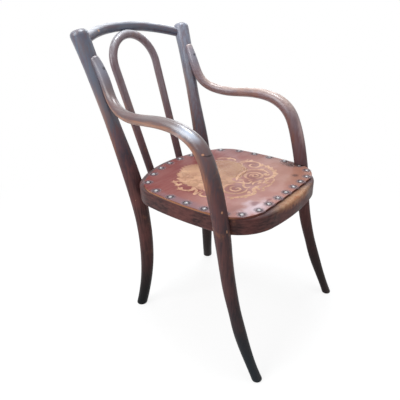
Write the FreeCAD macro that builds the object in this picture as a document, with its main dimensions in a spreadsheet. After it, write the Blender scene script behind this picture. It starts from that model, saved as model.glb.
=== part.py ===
# Bentwood armchair: bent round rods, a bent seat ring and a nailed plywood seat.
# Frame: +Z up, floor at Z 0, the sitter faces -Y, the middle plane is X 0.
import FreeCAD, Part
import math
import os

import Sketcher
from FreeCAD import Placement, Rotation, Vector

os.makedirs("parts", exist_ok=True)
doc = FreeCAD.newDocument("bentwood_armchair")

# Driving dimensions in millimetres and degrees.
# "out" is away from the middle plane and "back" is towards +Y.
# A rod's stations are offset from where that rod meets the seat ring, and rises start at the seat.
DIMENSIONS = {
    # Seat panel
    "seat_height": 440,
    "panel_thickness": 6,
    "panel_front": 281,
    "panel_rear": 121,
    "panel_front_half": 189,
    "panel_rear_half": 190,
    "panel_front_curve": 3000,
    "panel_side_curve": 800,
    "panel_rear_curve": 290,
    "panel_front_corner": 88,
    "panel_rear_corner": 90,
    "panel_edge_round": 1.5,
    # Seat ring
    "ring_height": 46,
    "ring_width": 38,
    "ring_front": 305,
    "ring_rear": 141,
    "ring_front_half": 188,
    "ring_rear_half": 190,
    "ring_front_curve": 600,
    "ring_side_curve": 950,
    "ring_rear_curve": 290,
    "ring_front_corner": 118,
    "ring_rear_corner": 100,
    "ring_edge_round": 7,
    # Rear posts
    "post_seat_half": 141.5,
    "post_let_in": 1.5,
    "post_foot_out": 20.5,
    "post_foot_back": 14,
    "post_knee_height": 250,
    "post_knee_out": -7,
    "post_knee_back": -11,
    "post_waist_rise": 177,
    "post_waist_out": 15,
    "post_waist_back": 49,
    "post_shoulder_rise": 270,
    "post_shoulder_out": 22,
    "post_shoulder_back": 71,
    "post_top_rise": 355,
    "post_top_out": 29,
    "post_top_back": 96,
    "post_foot_radius": 15.5,
    "post_knee_radius": 20.2,
    "post_seat_radius": 23,
    "post_waist_radius": 18,
    "post_shoulder_radius": 20.2,
    "post_top_radius": 22.5,
    "post_top_round": 12,
    # Arms and front legs, one rod on each side
    "leg_setback": 93,
    "leg_let_in": 12,
    "leg_foot_out": 18,
    "leg_foot_forward": 125,
    "leg_shin_height": 175,
    "leg_shin_out": 11,
    "leg_shin_forward": 50,
    "leg_thigh_height": 285,
    "leg_thigh_out": 4,
    "leg_thigh_forward": 20,
    "arm_drop_rise": 80,
    "arm_drop_in": 2,
    "arm_drop_back": 25,
    "arm_bend_rise": 154,
    "arm_bend_in": 3,
    "arm_bend_back": 63,
    "arm_front_rise": 181,
    "arm_front_in": 2,
    "arm_front_back": 124,
    "arm_crown_out": 4,
    "arm_level_rise": 181,
    "arm_level_out": 22,
    "arm_level_forward": 82,
    "arm_turn_rise": 201,
    "arm_turn_out": 8,
    "arm_turn_forward": 43,
    "arm_lap_rise": 252,
    "arm_tip_rise": 297,
    "arm_let_in": 6,
    "arm_tip_let_in": 17,
    "arm_tip_in": 2,
    "leg_foot_radius": 13.3,
    "leg_shin_radius": 16,
    "leg_thigh_radius": 17.8,
    "leg_seat_radius": 20,
    "arm_drop_radius": 19.8,
    "arm_bend_radius": 18.4,
    "arm_front_radius": 15.5,
    "arm_level_radius": 13.3,
    "arm_lap_radius": 13.3,
    "arm_tip_radius": 11.5,
    "arm_tip_round": 5,
    "foot_round": 5,
    # Crest rail and back loop
    "crest_drop": 26.5,
    "crest_bow": 54,
    "crest_rise": 24.5,
    "crest_radius": 12.5,
    "tenon_radius": 8,
    "tenon_reach": 4,
    "loop_radius": 11,
    "loop_foot_half": 62,
    "loop_half": 76,
    "loop_let_in": 0,
    "loop_lap_angle": 38,
    "loop_foot_lift": 6,
    # Fasteners
    "nail_inset": 11,
    "nail_front_count": 9,
    "nail_front_half": 167,
    "nail_rear_count": 6,
    "nail_rear_half": 112,
    "nail_side_count": 6,
    "nail_side_front": 212,
    "nail_side_rear": 58,
    "nail_head_radius": 5,
    "nail_head_height": 2.4,
    "nail_shank_radius": 1,
    "nail_length": 18,
    "coach_head_radius": 6,
    "coach_head_height": 4,
    "coach_shank_radius": 3,
    "coach_grip": 16,
    "coach_spacing": 20,
    "washer_radius": 8,
    "washer_thickness": 1.6,
    "spot_depth": 1.2,
    "screw_head_radius": 4,
    "screw_head_height": 3,
    "screw_shank_radius": 2,
    "screw_grip": 4,
    "screw_recess": 0.8,
    "pin_radius": 2,
    "pin_offset": 6,
    "pin_grip": 8,
    "pin_recess": 1.5,
    # Clearances
    "joint_gap": 0.2,
    "hole_gap": 0.15,
}

sheet = doc.addObject("Spreadsheet::Sheet", "dims")
for row, (alias, value) in enumerate(DIMENSIONS.items(), start=1):
    sheet.set(f"A{row}", alias)
    sheet.set(f"B{row}", str(value))
    sheet.setAlias(f"B{row}", alias)
doc.recompute()

UP = Vector(0, 0, 1)
LEVEL = 1e-6
ON_LINE = 1e-3


def size(alias):
    """The value of one cell of the sheet."""
    return float(sheet.get(alias))


def feature(name, shape):
    """An object that holds a computed shape."""
    part = doc.addObject("Part::Feature", name)
    part.Shape = shape
    return part


def compound(name, shapes):
    """One object that groups several shapes."""
    return feature(name, Part.makeCompound(shapes))


def joined(name, shapes):
    """One object that melts several shapes into one another."""
    return feature(name, shapes[0].multiFuse(shapes[1:]))


def cut(name, base, tool):
    """The base with the tool taken away."""
    part = doc.addObject("Part::Cut", name)
    part.Base = base
    part.Tool = tool
    doc.recompute()
    return part


def mirrored(name, source):
    """A copy of an object on the other side of the middle plane."""
    part = doc.addObject("Part::Mirroring", name)
    part.Source = source
    part.Normal = Vector(1, 0, 0)
    part.Base = Vector(0, 0, 0)
    return part


def flip(vector):
    """A point or direction on the other side of the middle plane."""
    return Vector(-vector.x, vector.y, vector.z)


def with_flipped(shapes):
    """Shapes together with their mirror images."""
    return shapes + [shape.mirror(Vector(), Vector(1, 0, 0)) for shape in shapes]


# Seat outlines
# Four bowed sides meet at corners that are rounded after the pad.


def outline_arc(start, end, radius):
    """An arc from start to end, counterclockwise, that bulges away from the seat's middle."""
    chord = end - start
    inward = Vector(-chord.y, chord.x, 0).normalize()
    rise = radius - math.sqrt(radius ** 2 - (chord.Length / 2) ** 2)
    return Part.Arc(start, (start + end) * 0.5 - inward * rise, end)


def outline_corners(kind):
    """The four corners of a seat outline, counterclockwise from the front left."""
    corners = []
    for side, sign in (("front", -1), ("rear", 1)):
        half = size(f"{kind}_{side}_half")
        radius = size(f"{kind}_{side}_curve")
        bow = radius - math.sqrt(radius ** 2 - half ** 2)
        depth = sign * (size(f"{kind}_{side}") - bow)
        corners += [Vector(sign * half, depth, 0), Vector(-sign * half, depth, 0)]
    return corners


def outline_sketch(body, kind):
    """A sketch of four arcs held by the reaches, half widths and curve radii of the sheet."""
    sketch = body.newObject("Sketcher::SketchObject", kind + "_outline")
    plane = [f for f in body.Origin.OriginFeatures if f.Role == "XY_Plane"][0]
    sketch.AttachmentSupport = [(plane, "")]
    sketch.MapMode = "FlatFace"
    corners = outline_corners(kind)
    curves = [f"{kind}_{side}_curve" for side in ("front", "side", "rear", "side")]
    for number, curve in enumerate(curves):
        arc = outline_arc(corners[number], corners[(number + 1) % 4], size(curve))
        sketch.addGeometry(arc, False)

    def hold(name, expression, *arguments):
        index = sketch.addConstraint(Sketcher.Constraint(*arguments))
        sketch.renameConstraint(index, name)
        sketch.setExpression(f"Constraints.{name}", expression)

    for number in range(4):
        sketch.addConstraint(Sketcher.Constraint("Coincident", number, 2, (number + 1) % 4, 1))
    for number in (0, 2):
        sketch.addConstraint(Sketcher.Constraint("Symmetric", number, 1, number, 2, -2))
    for number, curve in enumerate(curves):
        hold(f"curve_{number}", f"dims.{curve}", "Radius", number, size(curve))
    for number, side, sign in ((0, "front", 1), (2, "rear", -1)):
        half = f"{kind}_{side}_half"
        curve = f"{kind}_{side}_curve"
        reach = f"{kind}_{side}"
        left, right = (1, 2) if sign > 0 else (2, 1)
        hold(f"{side}_width", f"2 * dims.{half}",
             "DistanceX", number, left, number, right, 2 * size(half))
        hold(f"{side}_centre", f"{sign} * (dims.{curve} - dims.{reach})",
             "DistanceY", -1, 1, number, 3, sign * (size(curve) - size(reach)))
    return sketch


def middle_of(edge):
    """The point halfway along an edge."""
    first, last = edge.ParameterRange
    return edge.valueAt((first + last) / 2)


def edge_names(shape, wanted):
    """Names of the edges for which wanted is true."""
    return [f"Edge{number}" for number, edge in enumerate(shape.Edges, start=1) if wanted(edge)]


def edges_along(shape, outline, height):
    """Names of the level edges that follow an outline at one height."""

    def follows(edge):
        point = middle_of(edge)
        above = Part.Vertex(Vector(point.x, point.y, 0))
        return abs(point.z - height) < LEVEL and outline.distToShape(above)[0] < ON_LINE

    return edge_names(shape, follows)


def flat_faces(shape, height):
    """Names of the level faces at one height."""
    names = []
    for number, face in enumerate(shape.Faces, start=1):
        box = face.BoundBox
        if abs(box.ZMax - box.ZMin) < LEVEL and abs(box.ZMax - height) < LEVEL:
            names.append(f"Face{number}")
    return names


def dress(body, kind, name, base, edges, **expressions):
    """A fillet or shell on named edges or faces, with its size bound to the sheet."""
    part = body.newObject("PartDesign::" + kind, name)
    part.Base = (base, edges)
    for property_name, expression in expressions.items():
        part.setExpression(property_name, expression)
    doc.recompute()
    return part


def seat_block(kind, height_cell):
    """A body with the padded outline and its rounded corners, and its last feature."""
    body = doc.addObject("PartDesign::Body", kind + "_body")
    pad = body.newObject("PartDesign::Pad", kind + "_pad")
    pad.Profile = outline_sketch(body, kind)
    pad.setExpression("Length", f"dims.{height_cell}")
    doc.recompute()
    last = pad
    for side, sign in (("front", -1), ("rear", 1)):
        edges = edge_names(last.Shape, lambda edge: edge.Curve.TypeId == "Part::GeomLine"
                           and edge.CenterOfMass.y * sign > abs(edge.CenterOfMass.x) / 10)
        last = dress(body, "Fillet", f"{kind}_{side}_corners", last, edges,
                     Radius=f"dims.{kind}_{side}_corner")
    return body, last


ring_bottom = size("seat_height") - size("panel_thickness") - size("ring_height")
ring_top = ring_bottom + size("ring_height")
ring_middle = (ring_bottom + ring_top) / 2

ring_body, ring_solid = seat_block("ring", "ring_height")
ring_face = ring_solid.Shape.getElement(flat_faces(ring_solid.Shape, 0)[0])
ring_outline = ring_face.OuterWire
open_faces = flat_faces(ring_solid.Shape, 0) + flat_faces(ring_solid.Shape, size("ring_height"))
ring_shell = dress(ring_body, "Thickness", "ring_shell", ring_solid, open_faces,
                   Value="dims.ring_width")
ring_shell.Reversed = True
doc.recompute()
ring_edges = []
for height in (0, size("ring_height")):
    ring_edges += edges_along(ring_shell.Shape, ring_outline, height)
dress(ring_body, "Fillet", "ring_round", ring_shell, ring_edges, Radius="dims.ring_edge_round")

panel_body, panel_solid = seat_block("panel", "panel_thickness")
panel_face = panel_solid.Shape.getElement(flat_faces(panel_solid.Shape, 0)[0])
panel_outline = panel_face.OuterWire
panel_edges = edges_along(panel_solid.Shape, panel_outline, size("panel_thickness"))
dress(panel_body, "Fillet", "panel_round", panel_solid, panel_edges, Radius="dims.panel_edge_round")

# Where the rods meet the seat ring


def ring_contact(line_start, line_end):
    """Where a level line meets the ring's outline, and the outward direction there."""
    line = Part.makeLine(line_start, line_end)
    point = ring_outline.distToShape(line)[1][0][0]
    near = min(ring_outline.Edges, key=lambda edge: edge.distToShape(Part.Vertex(point))[0])
    along = near.tangentAt(near.Curve.parameter(point))
    outward = Vector(along.y, -along.x, 0)
    if outward.dot(point) < 0:
        outward = outward * -1
    return point, outward


FAR = 4 * size("ring_front")
post_half = size("post_seat_half")
post_contact, post_outward = ring_contact(Vector(post_half, 0, 0), Vector(post_half, FAR, 0))
leg_depth = size("leg_setback") - size("ring_front")
leg_contact, leg_outward = ring_contact(Vector(0, leg_depth, 0), Vector(FAR, leg_depth, 0))
loop_half = size("loop_foot_half")
loop_contact, loop_outward = ring_contact(Vector(loop_half, 0, 0), Vector(loop_half, FAR, 0))
post_seat = post_contact + post_outward * (size("post_seat_radius") - size("post_let_in"))
leg_seat = leg_contact + leg_outward * (size("leg_seat_radius") - size("leg_let_in"))

# Bent rods
# A rod is a smooth line through its stations, with a radius cell at each station.

SECTIONS_PER_SPAN = 2
FOOT_SPARE = 40
HALVINGS = 60


class Rod:
    """The centre line of a bent rod and the radii along it."""

    def __init__(self, stations):
        points = [point for point, cell in stations]
        self.cells = [cell for point, cell in stations]
        self.line = Part.BSplineCurve()
        self.line.interpolate(points)
        self.marks = [self.line.parameter(point) for point in points]

    def blend(self, mark):
        """The two radius cells around a mark on the line, and the share of the second."""
        span = 0
        while span < len(self.marks) - 2 and mark > self.marks[span + 1]:
            span += 1
        first, last = self.marks[span], self.marks[span + 1]
        share = min(max((mark - first) / (last - first), 0), 1)
        return self.cells[span], self.cells[span + 1], share * share * (3 - 2 * share)

    def radius(self, mark):
        """The radius at a mark on the line."""
        first, second, share = self.blend(mark)
        return size(first) * (1 - share) + size(second) * share

    def mark_at_height(self, height):
        """The mark of a rising line at one height."""
        low, high = self.marks[0], self.marks[-1]
        for step in range(HALVINGS):
            middle = (low + high) / 2
            if self.line.value(middle).z < height:
                low = middle
            else:
                high = middle
        return (low + high) / 2

    def section_marks(self):
        """Marks of the sections, evenly spread in each span."""
        marks = []
        for first, last in zip(self.marks, self.marks[1:]):
            marks += [first + (last - first) * step / SECTIONS_PER_SPAN
                      for step in range(SECTIONS_PER_SPAN)]
        return marks + [self.marks[-1]]

    def loft(self, name, foot_spare=0, grow="0"):
        """A solid through circles set square to the line, run on below the floor by a foot spare."""
        circles = []
        sections = [(mark, 0) for mark in self.section_marks()]
        if foot_spare:
            sections.insert(0, (self.marks[0], -foot_spare))
        for number, (mark, spare) in enumerate(sections):
            along = Vector(self.line.tangent(mark)[0]).normalize()
            point = self.line.value(mark) + along * spare
            circle = doc.addObject("Part::Circle", f"{name}_section_{number}")
            first, second, share = self.blend(mark)
            circle.setExpression(
                "Radius", f"dims.{first} * {1 - share:.5f} + dims.{second} * {share:.5f} + {grow}")
            across = Vector(1, 0, 0) - along * along.x
            circle.Placement = Placement(point, Rotation(across, Vector(), along, "ZXY"))
            circles.append(circle)
        loft = doc.addObject("Part::Loft", name + "_loft")
        loft.Sections = circles
        loft.Solid = True
        doc.recompute()
        return loft


def station(base, out, back, height):
    """A point offset from a base point in plan, at one height."""
    return Vector(base.x + out, base.y + back, height)


SEAT = size("seat_height")

post = Rod([
    (station(post_seat, size("post_foot_out"), size("post_foot_back"), 0), "post_foot_radius"),
    (station(post_seat, size("post_knee_out"), size("post_knee_back"), size("post_knee_height")),
     "post_knee_radius"),
    (station(post_seat, 0, 0, ring_middle), "post_seat_radius"),
    (station(post_seat, size("post_waist_out"), size("post_waist_back"),
             SEAT + size("post_waist_rise")), "post_waist_radius"),
    (station(post_seat, size("post_shoulder_out"), size("post_shoulder_back"),
             SEAT + size("post_shoulder_rise")), "post_shoulder_radius"),
    (station(post_seat, size("post_top_out"), size("post_top_back"),
             SEAT + size("post_top_rise")), "post_top_radius"),
])


def beside_post(rise, out, forward):
    """A point offset from the post's centre line, at a rise above the seat."""
    return station(post.line.value(post.mark_at_height(SEAT + rise)), out, -forward, SEAT + rise)


def on_post(rise, radius_cell, depth_cell):
    """A point on the front of the post, where a rod of one radius is let in to one depth."""
    reach = post.radius(post.mark_at_height(SEAT + rise)) + size(radius_cell) - size(depth_cell)
    return beside_post(rise, -size("arm_tip_in"), reach)


arm_level = beside_post(size("arm_level_rise"), size("arm_level_out"), size("arm_level_forward"))
arm_front = station(leg_seat, -size("arm_front_in"), size("arm_front_back"),
                    SEAT + size("arm_front_rise"))
arm_middle = (arm_level + arm_front) * 0.5 + Vector(size("arm_crown_out"), 0, 0)
arm_leg = Rod([
    (station(leg_seat, size("leg_foot_out"), -size("leg_foot_forward"), 0), "leg_foot_radius"),
    (station(leg_seat, size("leg_shin_out"), -size("leg_shin_forward"), size("leg_shin_height")),
     "leg_shin_radius"),
    (station(leg_seat, size("leg_thigh_out"), -size("leg_thigh_forward"), size("leg_thigh_height")),
     "leg_thigh_radius"),
    (station(leg_seat, 0, 0, ring_middle), "leg_seat_radius"),
    (station(leg_seat, -size("arm_drop_in"), size("arm_drop_back"), SEAT + size("arm_drop_rise")),
     "arm_drop_radius"),
    (station(leg_seat, -size("arm_bend_in"), size("arm_bend_back"), SEAT + size("arm_bend_rise")),
     "arm_bend_radius"),
    (arm_front, "arm_front_radius"),
    (arm_middle, "arm_level_radius"),
    (arm_level, "arm_level_radius"),
    (beside_post(size("arm_turn_rise"), size("arm_turn_out"), size("arm_turn_forward")),
     "arm_level_radius"),
    (on_post(size("arm_lap_rise"), "arm_lap_radius", "arm_let_in"), "arm_lap_radius"),
    (on_post(size("arm_tip_rise"), "arm_tip_radius", "arm_tip_let_in"), "arm_tip_radius"),
])

# Crest rail line: an arc from post to post, bowed back and up
crest_end = post.line.value(post.mark_at_height(SEAT + size("post_top_rise") - size("crest_drop")))
crest_top = Vector(0, crest_end.y + size("crest_bow"), crest_end.z + size("crest_rise"))
crest_arc = Part.Arc(flip(crest_end), crest_top, crest_end)
crest_inward = Vector(crest_arc.tangent(crest_arc.LastParameter)[0]) * -1

# Fasteners
# Each is turned about its own axis and driven along a direction from an origin.


def turned(points, origin, direction):
    """A solid of revolution of (radius, depth) points."""
    corners = [Vector(radius, 0, depth) for radius, depth in points]
    face = Part.Face(Part.makePolygon(corners + corners[:1]))
    solid = face.revolve(Vector(), UP, 360)
    solid.Placement = Placement(origin, Rotation(UP, direction))
    return solid


def hole(radius_cell, origin, direction, start, end):
    """A round clearance hole for a shank, from start to end along a direction."""
    radius = size(radius_cell) + size("hole_gap")
    return Part.makeCylinder(radius, end - start, origin + direction * start, direction)


def coach_screw(origin, direction, length):
    """A round-headed coach screw whose head bears on the origin."""
    head = size("coach_head_radius")
    top = -size("coach_head_height")
    shank = size("coach_shank_radius")
    point = length - 2 * shank
    crown = head / 2
    profile = [(0, top), (crown, top), (head, top / 2), (head, 0), (shank, 0),
               (shank, point), (0, length)]
    return turned(profile, origin, direction)


def washer(origin, direction):
    """A flat washer that starts at the origin."""
    inner = size("coach_shank_radius") + 2 * size("hole_gap")
    outer = size("washer_radius")
    thick = size("washer_thickness")
    return turned([(inner, 0), (outer, 0), (outer, thick), (inner, thick)], origin, direction)


def wood_screw(origin, direction, length, gap=0):
    """A countersunk wood screw whose head starts at the origin."""
    head = size("screw_head_radius") + gap
    shank = size("screw_shank_radius") + gap
    depth = size("screw_head_height")
    point = length - 2 * shank
    return turned([(0, 0), (head, 0), (shank, depth), (shank, point), (0, length)],
                  origin, direction)


def wood_screw_hole(origin, direction, length):
    """The hole of a wood screw, open above its head."""
    gap = size("hole_gap")
    head = size("screw_head_radius") + gap
    above = Part.makeCylinder(head, 2 * head, origin - direction * 2 * head, direction)
    return above.fuse(wood_screw(origin, direction, length + gap, gap))


class CoachJoint:
    """Two coach screws and washers, one above the other, through the ring into a rod."""

    def __init__(self, contact, outward):
        self.screws = []
        self.washers = []
        self.holes = []
        self.spots = []
        spot = size("spot_depth")
        thick = size("washer_thickness")
        wood = size("ring_width") - spot
        grip = size("coach_grip")
        for level in (-0.5, 0.5):
            height = ring_middle + level * size("coach_spacing")
            bed = contact + UP * height - outward * wood
            head = bed - outward * thick
            self.screws.append(coach_screw(head, outward, thick + wood + grip))
            self.washers.append(washer(head, outward))
            self.holes.append(hole("coach_shank_radius", head, outward, 0, thick + wood + grip + thick))
            reach = size("washer_radius") + size("hole_gap")
            self.spots.append(Part.makeCylinder(reach, size("ring_width"), bed, outward * -1))


post_joint = CoachJoint(post_contact, post_outward)
leg_joint = CoachJoint(leg_contact, leg_outward)

# Arm screw: through the lapped arm end into the post
screw_rise = (size("arm_lap_rise") + size("arm_tip_rise")) / 2
screw_height = SEAT + screw_rise
post_point = post.line.value(post.mark_at_height(screw_height))
arm_mark = arm_leg.mark_at_height(screw_height)
arm_point = arm_leg.line.value(arm_mark)
arm_drive = (post_point - arm_point).normalize()
arm_head = arm_leg.radius(arm_mark) - size("screw_recess")
arm_screw_start = arm_point - arm_drive * arm_head
arm_screw_length = arm_head + (post_point - arm_point).Length + size("screw_grip")
arm_screw = wood_screw(arm_screw_start, arm_drive, arm_screw_length)
arm_screw_hole = wood_screw_hole(arm_screw_start, arm_drive, arm_screw_length)

# Crest tenon and its pin
tenon_start = crest_end - crest_inward * size("tenon_reach")
tenon_length = size("tenon_reach") + 2 * size("post_top_radius")
tenon = Part.makeCylinder(size("tenon_radius"), tenon_length, tenon_start, crest_inward)
socket = hole("tenon_radius", tenon_start, crest_inward, -size("hole_gap"), tenon_length)
crest_mark = post.mark_at_height(crest_end.z)
crest_post_radius = post.radius(crest_mark)
pin_across = crest_inward.cross(UP).normalize()
if pin_across.y < 0:
    pin_across = pin_across * -1
pin_start = crest_end + crest_inward * size("pin_offset") - pin_across * size("pin_grip")
pin_chord = math.sqrt(crest_post_radius ** 2 - size("pin_offset") ** 2)
pin_length = size("pin_grip") + pin_chord - size("pin_recess")
crest_pin = Part.makeCylinder(size("pin_radius"), pin_length, pin_start, pin_across)
pin_hole = hole("pin_radius", pin_start, pin_across, -size("hole_gap"), 2 * pin_length)

# Back loop line: a half circle on two straight legs, in a plane that leans back
lap_angle = math.radians(size("loop_lap_angle"))
loop_drive = Vector(0, -math.sin(lap_angle), -math.cos(lap_angle))
loop_lap = size("crest_radius") + size("loop_radius") + size("joint_gap")
loop_top = crest_top + loop_drive * loop_lap
loop_foot = Vector(0, loop_contact.y + size("loop_radius") - size("loop_let_in"), ring_middle)
loop_lean = (loop_top - loop_foot).normalize()
loop_arc_radius = size("loop_half")
loop_arc_centre = loop_top - loop_lean * loop_arc_radius
foot_drop = (size("ring_height") / 2 - size("loop_foot_lift")) / loop_lean.z
loop_end = loop_foot - loop_lean * foot_drop + Vector(loop_half, 0, 0)
to_end = loop_end - loop_arc_centre
end_angle = math.atan2(to_end.dot(loop_lean), to_end.x)
tangent_angle = end_angle + math.acos(loop_arc_radius / to_end.Length)
loop_turn = (loop_arc_centre + Vector(loop_arc_radius * math.cos(tangent_angle), 0, 0)
             + loop_lean * (loop_arc_radius * math.sin(tangent_angle)))
loop_wire = Part.Wire([
    Part.makeLine(flip(loop_end), flip(loop_turn)),
    Part.Arc(flip(loop_turn), loop_top, loop_turn).toShape(),
    Part.makeLine(loop_turn, loop_end),
])
top_head = size("crest_radius") - size("screw_recess")
top_start = crest_top - loop_drive * top_head
top_length = top_head + loop_lap + size("screw_grip")
loop_top_screw = wood_screw(top_start, loop_drive, top_length)
loop_top_hole = wood_screw_hole(top_start, loop_drive, top_length)
foot_head = size("ring_width") - size("screw_recess")
foot_start = loop_contact + UP * ring_middle - loop_outward * foot_head
foot_length = foot_head + size("loop_radius") + size("screw_grip")
loop_foot_screw = wood_screw(foot_start, loop_outward, foot_length)
loop_foot_hole = wood_screw_hole(foot_start, loop_outward, foot_length)

# Nails, evenly spaced along each side on a line inside the panel's edge
nail_line = Part.Face(panel_outline).makeOffset2D(-size("nail_inset")).OuterWire
nail_middle = (size("panel_rear") - size("panel_front")) / 2


def spread(count_cell, low, high):
    """Evenly spaced values from low to high."""
    count = int(size(count_cell))
    return [low + (high - low) * step / (count - 1) for step in range(count)]


def nail_row(starts, direction):
    """Points where level lines from their starts meet the nail line."""
    lines = [Part.makeLine(start, start + direction * FAR) for start in starts]
    return [nail_line.distToShape(line)[1][0][0] for line in lines]


front_places = spread("nail_front_count", -size("nail_front_half"), size("nail_front_half"))
rear_places = spread("nail_rear_count", -size("nail_rear_half"), size("nail_rear_half"))
side_places = spread("nail_side_count", -size("nail_side_front"), size("nail_side_rear"))
side_starts = [Vector(0, place, 0) for place in side_places]
nail_rows = {
    "front": nail_row([Vector(place, nail_middle, 0) for place in front_places], Vector(0, -1, 0)),
    "rear": nail_row([Vector(place, nail_middle, 0) for place in rear_places], Vector(0, 1, 0)),
    "left": nail_row(side_starts, Vector(-1, 0, 0)),
    "right": nail_row(side_starts, Vector(1, 0, 0)),
}


def nail(point):
    """A dome-head nail standing in the panel at a point of its plan."""
    rim = size("nail_head_radius")
    dome = size("nail_head_height")
    shank = size("nail_shank_radius")
    length = size("nail_length")
    ball = (rim ** 2 + dome ** 2) / (2 * dome)
    half_angle = math.asin(rim / ball) / 2
    bulge = Vector(ball * math.sin(half_angle), 0, ball * math.cos(half_angle) - ball + dome)
    corners = [Vector(rim, 0, 0), Vector(shank, 0, 0), Vector(shank, 0, 2 * shank - length),
               Vector(0, 0, -length), Vector(0, 0, dome)]
    edges = [Part.makeLine(a, b) for a, b in zip(corners, corners[1:])]
    edges.append(Part.Arc(corners[-1], bulge, corners[0]).toShape())
    solid = Part.Face(Part.Wire(edges)).revolve(Vector(), UP, 360)
    solid.translate(Vector(point.x, point.y, SEAT))
    return solid


def nail_hole(point):
    """The hole of a nail through the panel and into the ring."""
    top = Vector(point.x, point.y, SEAT)
    gap = size("hole_gap")
    return hole("nail_shank_radius", top, UP * -1, -gap, size("nail_length") + gap)


# Tools that shape the joints
floor_tool = doc.addObject("Part::Box", "floor_tool")
floor_tool.Length = 2 * FAR
floor_tool.Width = 2 * FAR
floor_tool.Height = FAR
floor_tool.Placement.Base = Vector(-FAR, -FAR, -FAR)

joint_gap = size("joint_gap")
seat_face = Part.Face(ring_outline)
seat_face.translate(UP * (ring_bottom - joint_gap))
seat_tool = seat_face.extrude(UP * (SEAT + size("nail_head_height") - ring_bottom + 2 * joint_gap))
seat_centre = Vector(0, (size("ring_rear") - size("ring_front")) / 2, ring_middle)
seat_tool.scale(1 + joint_gap / size("ring_rear_half"), seat_centre)


def rounded_end(name, base, point, radius):
    """A fillet around the closed edge nearest to a point."""
    edges = base.Shape.Edges
    closed = [number for number, edge in enumerate(edges) if edge.isClosed()]
    nearest = min(closed, key=lambda n: edges[n].distToShape(Part.Vertex(point))[0])
    part = doc.addObject("Part::Fillet", name)
    part.Base = base
    part.Edges = [(nearest + 1, radius, radius)]
    doc.recompute()
    return part


def swept(name, path, point, along, radius_cell):
    """A round rod of one radius along a path."""
    circle = doc.addObject("Part::Circle", name + "_section")
    circle.setExpression("Radius", f"dims.{radius_cell}")
    circle.Placement = Placement(point, Rotation(UP, along))
    sweep = doc.addObject("Part::Sweep", name + "_sweep")
    sweep.Sections = [circle]
    sweep.Spine = (feature(name + "_path", path), [f"Edge{n + 1}" for n in range(len(path.Edges))])
    sweep.Solid = True
    sweep.Frenet = False
    doc.recompute()
    return sweep


# Rear posts
post_trim = cut("post_trim", post.loft("post", FOOT_SPARE), floor_tool)
post_crown = rounded_end("post_crown", post_trim, post.line.value(post.marks[-1]),
                         size("post_top_round"))
post_shape = rounded_end("post_shape", post_crown, post.line.value(post.marks[0]), size("foot_round"))
post_tools = joined("post_tools", [seat_tool, socket, pin_hole, arm_screw_hole] + post_joint.holes)
post_right = cut("rear_post_right", post_shape, post_tools)

# Arms with front legs
arm_trim = cut("arm_trim", arm_leg.loft("arm_leg", FOOT_SPARE), floor_tool)
arm_crown = rounded_end("arm_crown", arm_trim, arm_leg.line.value(arm_leg.marks[-1]),
                        size("arm_tip_round"))
arm_shape = rounded_end("arm_shape", arm_crown, arm_leg.line.value(arm_leg.marks[0]),
                        size("foot_round"))
post_cover = post.loft("post_cover", grow="dims.joint_gap")
arm_hollowed = cut("arm_hollowed", arm_shape, post_cover)
arm_tools = joined("arm_tools", [seat_tool, arm_screw_hole] + leg_joint.holes)
arm_right = cut("arm_leg_right", arm_hollowed, arm_tools)

# Crest rail
crest_path = Part.Wire([crest_arc.toShape()])
crest_start = flip(crest_end)
crest_along = Vector(crest_arc.tangent(crest_arc.FirstParameter)[0])
crest_sweep = swept("crest", crest_path, crest_start, crest_along, "crest_radius")
crest_bare = cut("crest_bare", crest_sweep, compound("post_covers", with_flipped([post_cover.Shape])))
crest_tenons = compound("crest_tenons", with_flipped([tenon]))
crest_whole = doc.addObject("Part::Fuse", "crest_whole")
crest_whole.Base = crest_bare
crest_whole.Tool = crest_tenons
crest_holes = compound("crest_holes", with_flipped([pin_hole]) + [loop_top_hole])
crest_rail = cut("crest_rail", crest_whole, crest_holes)

# Back loop
loop_sweep = swept("loop", loop_wire, flip(loop_end), loop_lean, "loop_radius")
loop_tools = joined("loop_tools", [seat_tool, loop_top_hole] + with_flipped([loop_foot_hole]))
back_loop = cut("back_loop", loop_sweep, loop_tools)

# Seat ring and seat panel
ring_body.Placement.Base = UP * ring_bottom
panel_body.Placement.Base = UP * ring_top
doc.recompute()
coach_holes = post_joint.holes + post_joint.spots + leg_joint.holes + leg_joint.spots
ring_holes = with_flipped(coach_holes + [loop_foot_hole])
nail_holes = [nail_hole(point) for row in nail_rows.values() for point in row]
seat_ring = cut("seat_ring", ring_body, joined("ring_holes", ring_holes + nail_holes))
seat_panel = cut("seat_panel", panel_body, compound("panel_holes", nail_holes))

# Sub-parts, by the name of their file
parts = {
    "rear_post_right": post_right,
    "arm_leg_right": arm_right,
    "crest_rail": crest_rail,
    "back_loop": back_loop,
    "seat_ring": seat_ring,
    "seat_panel": seat_panel,
    "loop_top_screw": feature("loop_top_screw", loop_top_screw),
    "rear_post_screws_right": compound("rear_post_screws_right", post_joint.screws),
    "rear_post_washers_right": compound("rear_post_washers_right", post_joint.washers),
    "front_leg_screws_right": compound("front_leg_screws_right", leg_joint.screws),
    "front_leg_washers_right": compound("front_leg_washers_right", leg_joint.washers),
    "arm_screw_right": feature("arm_screw_right", arm_screw),
    "crest_pin_right": feature("crest_pin_right", crest_pin),
    "loop_foot_screw_right": feature("loop_foot_screw_right", loop_foot_screw),
}
for side, row in nail_rows.items():
    name = "seat_nails_" + side
    parts[name] = compound(name, [nail(point) for point in row])
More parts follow.
